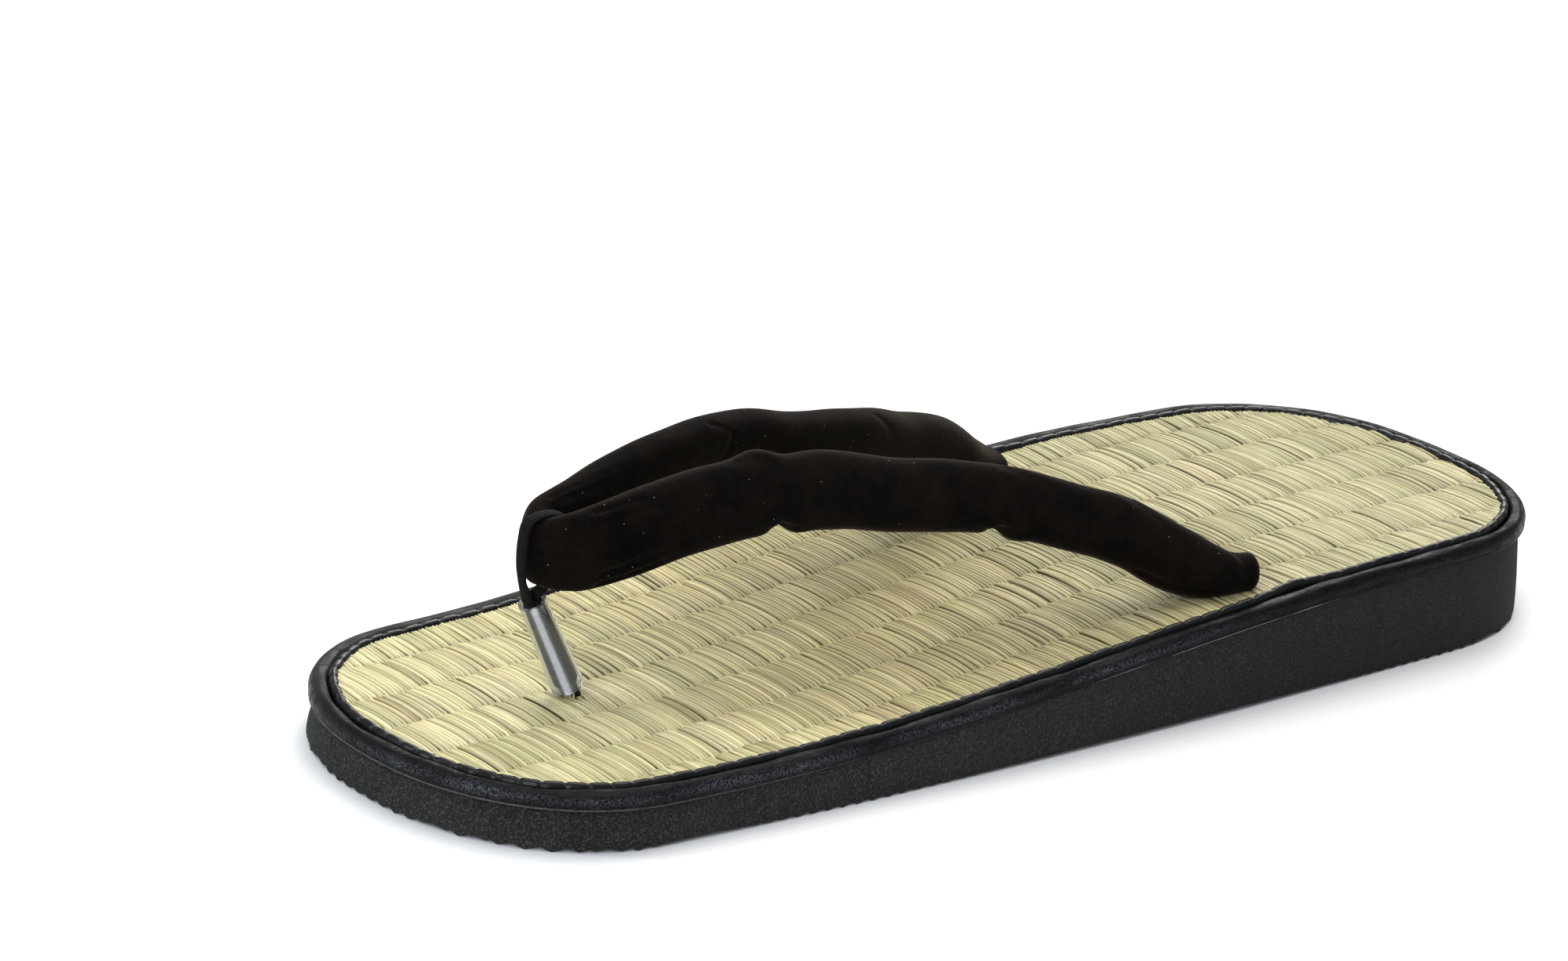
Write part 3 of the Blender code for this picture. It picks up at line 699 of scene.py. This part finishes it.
def makeTornStraw():  # thin flat slips that stand up at the edge of the hole, tapered towards the tip
    hole = np.array([0.0, alongY(rush["holeStation"]), 0.0])
    hole[2] = bedLevel(hole[1]) - rush["halfThickness"]
    turn, length, lean = (np.array(column)[:, None] for column in zip(*tornStraw))
    turn, lean = np.radians(turn), np.radians(lean)
    out = np.stack([np.cos(turn), np.sin(turn), 0 * turn], -1)
    side = np.stack([-np.sin(turn), np.cos(turn), 0 * turn], -1)
    share = np.linspace(0.0, 1.0, 5)[None, :, None]
    reach = share * length[..., None] / 1000
    spine = hole + out * (rush["tornReach"] + reach * np.sin(lean)[..., None])
    spine = spine + reach * np.array([0.0, 0.0, 1.0])
    halfWidth = rush["tornWidth"] / 2 * (1.0 - 0.75 * share)
    thick = out * rush["tornThickness"] / 2
    rings = np.stack([spine - side * halfWidth - thick, spine + side * halfWidth - thick,
                      spine + side * halfWidth + thick, spine - side * halfWidth + thick], 2)
    slips, steps = rings.shape[:2]
    one = latticeFaces(steps, 4, wrapColumns=True)
    caps = np.array([[3, 2, 1, 0], [4 * steps - 4, 4 * steps - 3, 4 * steps - 2, 4 * steps - 1]])
    faces = np.concatenate([one, caps])[None] + np.arange(slips)[:, None, None] * steps * 4
    mesh = newMesh("tornStraw", rings, faces.reshape(-1, 4)[:, ::-1], sharp=40.0)
    setTint(mesh, rush["straw"])
    newPiece("tornStraw", mesh, rushFinish())


def makeRushGround():  # the ground under the strands, a slab as wide as the mat at each y, painted dark brown as the shade in the slits between strands
    y = np.linspace(-1, 1, 240)
    matHalf = footprint["length"] / 2 - matInset
    y = np.sign(y) * (1 - (1 - np.abs(y)) ** 1.6) * (matHalf - 0.00002)
    half = np.maximum(matReach(y), 0.0002)
    top = bedLevel(y) - rush["relief"] - rush["halfThickness"]
    foot = bedLevel(y) - bed["matThickness"]
    rings = np.stack([np.stack([-half, y, foot], -1), np.stack([-half, y, top], -1),
                      np.stack([half, y, top], -1), np.stack([half, y, foot], -1)], 1)
    mesh = tubeMesh("rushGround", rings, 30.0)
    setTint(mesh, rush["under"])
    newPiece("rushGround", mesh, rushFinish())


# Straps: the padded velvet tube, folded round the thong at the front
strap = {
    "height": 0.0165,
    "thickness": 0.0088,
    "rise": 0.0364,
    "foldThickness": 0.0055,
    "foldGap": 0.0022,
    "foldStation": 0.1525,
    "foldRise": 0.806,
    "foldClimb": 0.030,
    "foldHeight": 0.72,
    "foldSwell": 0.12,
    "endDome": 0.0032,
    "padRound": 0.80,
    "around": 112,
    "branchSteps": 260,
    "foldSteps": 48,
    "domeSteps": 9,
    "ringStep": 0.00058,
    "smoothing": 9,  # rings over which the path is averaged
    "quarterArc": 0.62,  # length of a quarter turn round the tube, as a share of its height
    "foldFade": 0.75,  # share of a fold's depth that is gone at its end
    "puff": 0.00007,  # soft unevenness all over
    "pile": (0.0008, 0.0005, 0.0003),
    # painted sheen: paler brown pile where the brushed nap would catch the light
    "brushedPileSheen": (0.0062, 0.0040, 0.0027),
    "lint": (0.13, 0.135, 0.13),
}
strapRows = (
    # station, spread, rise, height, thickness as shares, lean in degrees
    (0.174, 0.125, 0.870, 0.86, 0.84, 2),
    (0.204, 0.160, 0.915, 0.88, 0.95, 8),
    (0.248, 0.200, 0.960, 0.90, 1.00, 14),
    (0.296, 0.250, 0.975, 0.88, 1.00, 20),
    (0.343, 0.290, 0.925, 0.87, 1.00, 22),
    (0.389, 0.320, 0.825, 0.83, 1.00, 22),
    (0.435, 0.360, 0.750, 0.81, 1.00, 22),
    (0.482, 0.425, 0.655, 0.79, 1.00, 22),
    (0.528, 0.510, 0.515, 0.75, 0.98, 20),
    (0.574, 0.595, 0.355, 0.75, 0.98, 20),
    (0.602, 0.665, 0.225, 0.77, 1.02, 23),
    (0.624, 0.720, 0.163, 0.67, 1.08, 26),
    (0.642, 0.750, 0.140, 0.54, 1.08, 24),
    (0.657, 0.765, 0.120, 0.44, 1.02, 14),
)
strapDrifts = (
    # side, station, reach along as a share of the length, outward and upward in millimetres, height lost
    (1, 0.650, 0.036, -0.5, -2.0, 0.0),
    (-1, 0.635, 0.040, -0.3, -1.0, 0.0),
    (-1, 0.672, 0.034, -0.6, -1.8, 0.42),
    (-1, 0.510, 0.040, 0.0, -0.9, 0.0),
    (-1, 0.450, 0.035, 0.0, -0.5, 0.0),
)
edgeCreases = (
    # side (0 for both), station, edge (1 the top, -1 the bottom), depth and length as shares of the height
    (0, 0.165, -1, -0.085, 0.60),
    (1, 0.284, 1, -0.070, 0.22),
    (1, 0.304, 1, 0.035, 0.25),
    (0, 0.296, -1, 0.100, 0.15),
    (0, 0.308, -1, -0.030, 0.20),
    (0, 0.476, -1, 0.080, 0.13),
    (0, 0.488, -1, -0.040, 0.22),
    (1, 0.560, 1, -0.040, 0.35),
)
# Folds of the velvet as soft troughs, each along a line on the tube: where it starts and ends,
# around from the top edge in quarter turns (1 the outer face, 2 the bottom), in millimetres.
velvetFolds = (
    # side, station and quarter at the start, station and quarter at the end, width, depth
    (1, 0.160, 0.55, 0.235, 0.70, 1.0, 0.85),
    (1, 0.160, 0.78, 0.205, 0.90, 0.8, 0.60),
    (1, 0.158, 1.05, 0.250, 1.04, 1.0, 0.85),
    (1, 0.160, 1.38, 0.228, 1.28, 0.9, 0.75),
    (1, 0.160, 1.66, 0.215, 1.52, 0.9, 0.70),
    (1, 0.165, 0.20, 0.205, 0.50, 1.0, 0.80),
    (1, 0.268, 0.25, 0.300, 0.70, 1.2, 0.30),
    (1, 0.294, 1.95, 0.262, 1.30, 1.2, 0.45),
    (1, 0.294, 1.95, 0.330, 1.35, 1.1, 0.40),
    (1, 0.471, 1.95, 0.430, 1.25, 1.1, 0.45),
    (1, 0.471, 1.95, 0.505, 1.30, 1.2, 0.45),
    (1, 0.470, 0.30, 0.520, 0.90, 1.3, 0.25),
    (1, 0.560, 0.20, 0.600, 0.90, 1.2, 0.30),
    (1, 0.640, 0.05, 0.652, 0.85, 1.1, 0.75),
    (1, 0.661, 0.30, 0.666, 0.85, 1.7, -1.10),
    (1, 0.585, 1.70, 0.655, 1.45, 0.9, 0.60),
    (1, 0.600, 1.30, 0.640, 1.10, 0.8, 0.30),
    (-1, 0.160, 3.60, 0.230, 3.40, 1.0, 0.35),
    (-1, 0.155, 3.85, 0.215, 3.70, 0.8, 0.30),
    (-1, 0.300, 3.92, 0.315, 3.55, 0.6, 0.45),
    (-1, 0.315, 3.55, 0.309, 3.00, 0.6, 0.40),
    (-1, 0.294, 1.95, 0.262, 1.30, 1.2, 0.45),
    (-1, 0.471, 1.95, 0.430, 1.25, 1.1, 0.45),
    (-1, 0.470, 3.90, 0.485, 3.30, 0.9, 0.35),
    (-1, 0.585, 1.60, 0.640, 1.25, 0.9, 0.50),
    (1, 0.250, 3.40, 0.310, 3.00, 1.1, 0.35),
    (1, 0.400, 3.50, 0.440, 3.00, 1.2, 0.30),
)


def hermite(rows, at):  # smooth values between the rows of a table whose first column is the place
    table = np.array(rows, dtype=float)
    spot = table[:, 0]
    slope = np.gradient(table, spot, axis=0)
    i = np.clip(np.searchsorted(spot, at) - 1, 0, len(spot) - 2)
    step = spot[i + 1] - spot[i]
    t = ((at - spot[i]) / step)[:, None]
    step = step[:, None]
    return ((2 * t ** 3 - 3 * t ** 2 + 1) * table[i] + (t ** 3 - 2 * t ** 2 + t) * step * slope[i]
            + (3 * t ** 2 - 2 * t ** 3) * table[i + 1] + (t ** 3 - t ** 2) * step * slope[i + 1])


def branchSections(side):  # centre, height, thickness and lean of each ring, from the fold to the end
    foldRadius = strap["foldGap"] + strap["foldThickness"] / 2
    foldY = alongY(strap["foldStation"])
    turn = np.linspace(0.0, pi / 2, strap["foldSteps"] // 2 + 1)[:-1]
    grow = smoothStep(turn / (pi / 2))
    fold = np.stack([foldRadius * np.sin(turn), foldY - foldRadius * np.cos(turn),
                     bedLevel(foldY) + strap["rise"] * (strap["foldRise"] + strap["foldClimb"] * grow),
                     strap["height"] * (strap["foldHeight"] + strap["foldSwell"] * grow),
                     strap["foldThickness"] * (1.0 + strap["foldSwell"] * grow), 0.0 * turn], 1)
    stations = np.linspace(strapRows[0][0], strapRows[-1][0], strap["branchSteps"])
    rows = hermite(strapRows, stations)
    y = alongY(rows[:, 0])
    branch = np.stack([rows[:, 1] * halfWaist, y, bedLevel(y) + rows[:, 2] * strap["rise"],
                       rows[:, 3] * strap["height"], rows[:, 4] * strap["thickness"],
                       np.radians(rows[:, 5])], 1)
    for onSide, station, reach, outward, upward, lost in strapDrifts:
        if onSide == side:
            share = bump(stations - station, reach)
            branch[:, 0] += outward / 1000 * share
            branch[:, 2] += upward / 1000 * share
            branch[:, 3] *= 1 - lost * share
    half = np.concatenate([fold, branch])
    return half * np.array([side, 1, 1, 1, 1, 1])


def evenly(rows, step):  # the same run in even steps, then each row averaged with its neighbours
    reach = np.concatenate([[0.0], np.cumsum(np.linalg.norm(np.diff(rows[:, :3], axis=0), axis=1))])
    at = np.linspace(0.0, reach[-1], int(reach[-1] / step))
    rows = np.stack([np.interp(at, reach, column) for column in rows.T], 1)
    window = np.hanning(strap["smoothing"] + 2)[1:-1]
    pad = strap["smoothing"] // 2
    wide = np.concatenate([2 * rows[:1] - rows[pad:0:-1], rows, 2 * rows[-1:] - rows[-2:-pad - 2:-1]])
    return np.stack([np.convolve(column, window / window.sum(), "valid") for column in wide.T], 1)


def domed(rows):  # closes the far end of a run with a dome whose rings shrink as a circle does
    onward = rows[-1, :3] - rows[-3, :3]
    onward = onward / np.linalg.norm(onward)
    share = np.sin(np.linspace(0.0, pi / 2, strap["domeSteps"] + 1)[1:] * 0.985)[:, None]
    dome = np.concatenate([rows[-1, :3] + onward * strap["endDome"] * share,
                           rows[-1, 3:5] * np.sqrt(1 - share ** 2),
                           np.repeat(rows[-1:, 5:], len(share), 0)], 1)
    return np.concatenate([rows, dome])


def foldDepth(side, station, quarter, high):  # the summed troughs at each point of the tube, in metres
    depth = np.zeros(np.broadcast_shapes(station.shape, quarter.shape))
    along, around = footprint["length"], high * strap["quarterArc"]
    for onSide, s0, q0, s1, q1, width, deep in velvetFolds:
        lineX, lineY = (s1 - s0) * along, (q1 - q0) * around
        length = lineX ** 2 + lineY ** 2
        dx, dy = (station - s0) * along, (quarter - q0) * around
        share = np.clip((dx * lineX + dy * lineY) / length, 0.0, 1.0)
        away = np.hypot(dx - share * lineX, dy - share * lineY)
        fade = 1.0 - strap["foldFade"] * share
        depth = depth + (side == onSide) * deep / 1000 * fade * bump(away, width / 1000)
    return depth


def strapSkin():  # the section, an ellipse squared by padRound, swept from end to end round the fold
    sections = evenly(np.concatenate([branchSections(-1)[:0:-1], branchSections(1)]), strap["ringStep"])
    path = domed(domed(sections)[::-1])[::-1]
    side = np.where(path[:, :1] < 0, -1.0, 1.0)
    centre, height, thickness, lean = path[:, :3], path[:, 3:4], path[:, 4:5], path[:, 5:6]
    run = unit(np.gradient(centre, axis=0))
    heading = unit(run[:, :2])
    out = np.stack([heading[:, 1], -heading[:, 0], 0 * heading[:, 0]], 1)
    up = unit(np.cross(out, run))
    out, up = out * np.cos(lean) + up * np.sin(lean), up * np.cos(lean) - out * np.sin(lean)
    turn = np.arange(strap["around"])[None] * 2 * pi / strap["around"]
    tall = np.sign(np.cos(turn)) * np.abs(np.cos(turn)) ** strap["padRound"]
    wide = np.sign(np.sin(turn)) * np.abs(np.sin(turn)) ** strap["padRound"]
    y = centre[:, 1:2]
    station = y / footprint["length"] + 0.5
    drawn = np.zeros_like(tall * y)
    for onSide, at, edge, deep, length in edgeCreases:
        on = np.where((tall * edge > 0) & (side * onSide >= 0), 1.0, 0.0)
        drawn = drawn + on * deep * strap["height"] * bump(y - alongY(at), length * strap["height"])
    dip = foldDepth(side, station, turn / (pi / 2), height)
    waves = np.sin(station * 61 + 2 * np.sin(turn) + side) + np.sin(station * 133 + 2 * turn + side) / 2
    full = np.clip(height / strap["height"] * 1.6, 0.0, 1.0)
    shrink = (dip - strap["puff"] * waves * full) * full
    high = tall * (height / 2 - drawn) - np.cos(turn) * shrink
    deep = wide * thickness / 2 - np.sin(turn) * shrink
    return centre[:, None] + up[:, None] * high[..., None] + out[:, None] * deep[..., None]


def makeStrap():  # both branches as one closed tube
    mesh = tubeMesh("strap", strapSkin())
    piece = newPiece("velvetStrap", mesh, velvetFinish(), "strap")


# Toe thong: a cord out of the mat that becomes a strip round the straps' fold
thong = {
    "thickness": 0.0024,
    "stripWidth": 0.0028,
    "stripThickness": 0.0010,
    "cordRadius": 0.00165,
    "cordDepth": 0.0062,
    "split": 0.45,  # of the strip's two ends, from the cord's middle as a share of its radius
    "frontEnd": 1.30,  # sizes of those ends
    "backEnd": 1.20,
    "loopSteps": 90,
    "cordSteps": 90,
    "sides": 20,
    "braid": (0.0016, 0.0012, 0.0010),
    "braidRib": (0.0068, 0.0049, 0.0037),
    "core": (0.0012, 0.0012, 0.0013),
    "coreTwist": (0.0060, 0.0058, 0.0060),
}
sleeve = {
    "length": 0.0202,
    "standoff": 0.0022,  # cord that shows under it
    "lean": 28.0,  # degrees, the top towards the toe
    "topRadius": 0.0026,
    "footRadius": 0.0031,
    "wall": 0.0006,
    "slack": 0.00015,  # between the cord, bunched up inside, and the wall
    "tint": (0.88, 0.92, 0.97),
    "upturn": 46.0,  # degrees by which the gloss leans up the tube
    "sides": 64,
    "steps": 24,
}
loopRows = (
    # place, across from the front run to the back run, up, size
    (0.00, -0.90, -0.80, 0.85),
    (0.10, -1.00, -0.40, 0.95),
    (0.25, -1.00, 0.35, 1.00),
    (0.40, -0.72, 0.90, 1.00),
    (0.50, 0.00, 1.00, 1.00),
    (0.60, 0.72, 0.90, 1.00),
    (0.75, 1.00, 0.35, 1.00),
    (0.90, 0.98, -0.40, 0.95),
    (1.00, 0.75, -0.80, 0.80),
)


def thongAxis():  # where the thong leaves the mat, and the way that it leans
    y = alongY(rush["holeStation"])
    lean = radians(sleeve["lean"])
    return np.array([0.0, y, float(bedLevel(y))]), np.array([0.0, -sin(lean), cos(lean)])


def sweep(centres, wide, deep, sides):  # an ellipse of those half sizes, carried along a path in x = 0
    run = unit(np.gradient(centres, axis=0))
    across = np.array([1.0, 0.0, 0.0])
    inward = np.cross(run, across)
    turn = np.arange(sides) * 2 * pi / sides
    return (centres[:, None] + across * (np.cos(turn)[None] * wide[:, None])[..., None]
            + inward[:, None] * (np.sin(turn)[None] * deep[:, None])[..., None])


def makeThong():  # the strip round the straps' fold, and the cord, which fills the tube inside
    foot, along = thongAxis()
    foldY = alongY(strap["foldStation"])
    half = (strap["foldGap"] + strap["foldThickness"] + bed["clearance"] + thong["thickness"] / 2) / 2
    rise = strap["height"] * strap["foldHeight"] / 2 + bed["clearance"] + thong["stripThickness"] / 2
    middle = np.array([0.0, foldY - half, float(bedLevel(foldY)) + strap["rise"] * strap["foldRise"]])
    rows = hermite(loopRows, np.linspace(0.0, 1.0, thong["loopSteps"]))
    loop = middle + np.stack([0 * rows[:, 0], rows[:, 1] * half, rows[:, 2] * rise], 1)
    mouth = foot + along * (sleeve["standoff"] + sleeve["length"])
    split = np.array([0.0, along[2], -along[1]]) * thong["cordRadius"] * thong["split"]
    ends = [mouth - along * thong["cordRadius"], mouth + along * thong["cordRadius"] / 2]
    centres = np.concatenate([[ends[0] - split, ends[1] - split], loop, [ends[1] + split, ends[0] + split]])
    size = np.concatenate([[thong["frontEnd"]] * 2, rows[:, 3], [thong["backEnd"]] * 2])
    halfWidth, halfThickness = thong["stripWidth"] / 2, thong["stripThickness"] / 2
    rings = sweep(centres, size * halfWidth, size * halfThickness, thong["sides"])
    newPiece("thongStrip", tubeMesh("strip", rings), thongFinish(), "toe_thong")
    reach = np.linspace(-thong["cordDepth"], sleeve["standoff"] + sleeve["length"], thong["cordSteps"])
    cord = foot + along * reach[:, None]
    share = np.clip((reach - sleeve["standoff"]) / sleeve["length"], 0.0, 1.0)
    inside = blend(sleeve["footRadius"], sleeve["topRadius"], share) - sleeve["wall"]
    packed = smoothStep(share / 0.10) * smoothStep((1.0 - share) / 0.04 + 0.2)
    radius = blend(thong["cordRadius"], inside - sleeve["slack"], packed)
    rings = sweep(cord, radius, radius, thong["sides"])
    newPiece("thongCord", tubeMesh("cord", rings), coreFinish())


def makeSleeve():  # a slight cone of two skins, joined at both rims
    foot, along = thongAxis()
    share = np.linspace(0.0, 1.0, sleeve["steps"])
    reach = sleeve["standoff"] + sleeve["length"] * share
    path = foot + along * reach[:, None]
    radius = blend(sleeve["footRadius"], sleeve["topRadius"], share)
    bore = radius - sleeve["wall"]
    outer, inner = (sweep(path, size, size, sleeve["sides"]) for size in (radius, bore))
    grid = np.concatenate([outer, inner[::-1]])
    faces = latticeFaces(len(grid), sleeve["sides"], wrapRows=True, wrapColumns=True)
    mesh = newMesh("sleeve", grid, faces, sharp=40.0)
    newPiece("clearSleeve", mesh, sleeveFinish(), "toe_sleeve")


# Studio
studio = {
    "floorSize": 6.0,
    "floorColour": (0.88, 0.88, 0.88, 1.0),
    "skyColour": (0.92, 0.95, 1.0, 1.0),
    "skyStrength": 0.34,
}
lamps = (
    # name, place, width, height, power, colour
    ("overheadLamp", (-0.25, 0.35, 1.50), 1.30, 1.30, 22.0, (1.0, 0.99, 0.97)),
    ("toeStrip", (0.43, -0.92, 0.62), 0.55, 0.85, 6.5, (0.88, 0.94, 1.0)),
    ("farStrip", (-0.60, -0.86, 0.70), 0.09, 0.85, 3.2, (0.88, 0.94, 1.0)),
    ("rearLamp", (-0.85, 0.95, 0.75), 0.70, 0.70, 9.0, (1.0, 0.98, 0.95)),
)
view = {
    "azimuth": 48.5,
    "elevation": 19.52,
    "roll": 4.76,
    "distance": 1.1384,
    "lens": 131.75,
    "target": (-0.06083, 0.01108, 0.015),
}


def makeStudio():  # the floor, lamps that point at the origin, and the sky
    half = studio["floorSize"] / 2
    corners = np.array([(-half, -half, 0), (half, -half, 0), (half, half, 0), (-half, half, 0)], float)
    floor = newObject("floor", newMesh("floor", corners, np.array([[0, 1, 2, 3]])))
    finish = newFinish("paleFloor", Roughness=0.75, Specular_IOR_Level=0.2,
                       Base_Color=studio["floorColour"])
    floor.data.materials.append(finish[0])
    for name, spot, width, height, power, colour in lamps:
        data = bpy.data.lights.new(name, "AREA")
        data.shape = "RECTANGLE"
        data.size, data.size_y, data.energy, data.color = width, height, power, colour
        lamp = newObject(name, data)
        lamp.location = spot
        lamp.rotation_euler = (-Vector(spot)).to_track_quat("-Z", "Y").to_euler()
    sky = bpy.data.worlds.new("studioSky")
    sky.use_nodes = True
    light = sky.node_tree.nodes["Background"]
    light.inputs["Color"].default_value = studio["skyColour"]
    light.inputs["Strength"].default_value = studio["skyStrength"]
    bpy.context.scene.world = sky
    bpy.context.scene.view_settings.view_transform = "Standard"


def makeCamera():  # looks along -back, turned round that line by the roll
    azimuth, elevation, roll = (radians(view[name]) for name in ("azimuth", "elevation", "roll"))
    back = Vector((sin(azimuth) * cos(elevation), -cos(azimuth) * cos(elevation), sin(elevation)))
    right = Vector((cos(azimuth), sin(azimuth), 0.0))
    up = back.cross(right)
    turned = right * cos(roll) + up * sin(roll)
    upright = up * cos(roll) - right * sin(roll)
    data = bpy.data.cameras.new("camera")
    data.lens, data.sensor_width = view["lens"], 36.0
    data.clip_start, data.clip_end = 0.05, 20.0
    camera = newObject("camera", data)
    camera.matrix_world = Matrix.Translation(Vector(view["target"]) + back * view["distance"]) @ Matrix(
        (turned, upright, back)).transposed().to_4x4()
    bpy.context.scene.camera = camera


makeSole()
makeWelt()
makeBinding()
makeRushGround()
makeRush()
makeTornStraw()
makeStrap()
makeThong()
makeSleeve()
makeStudio()
makeCamera()
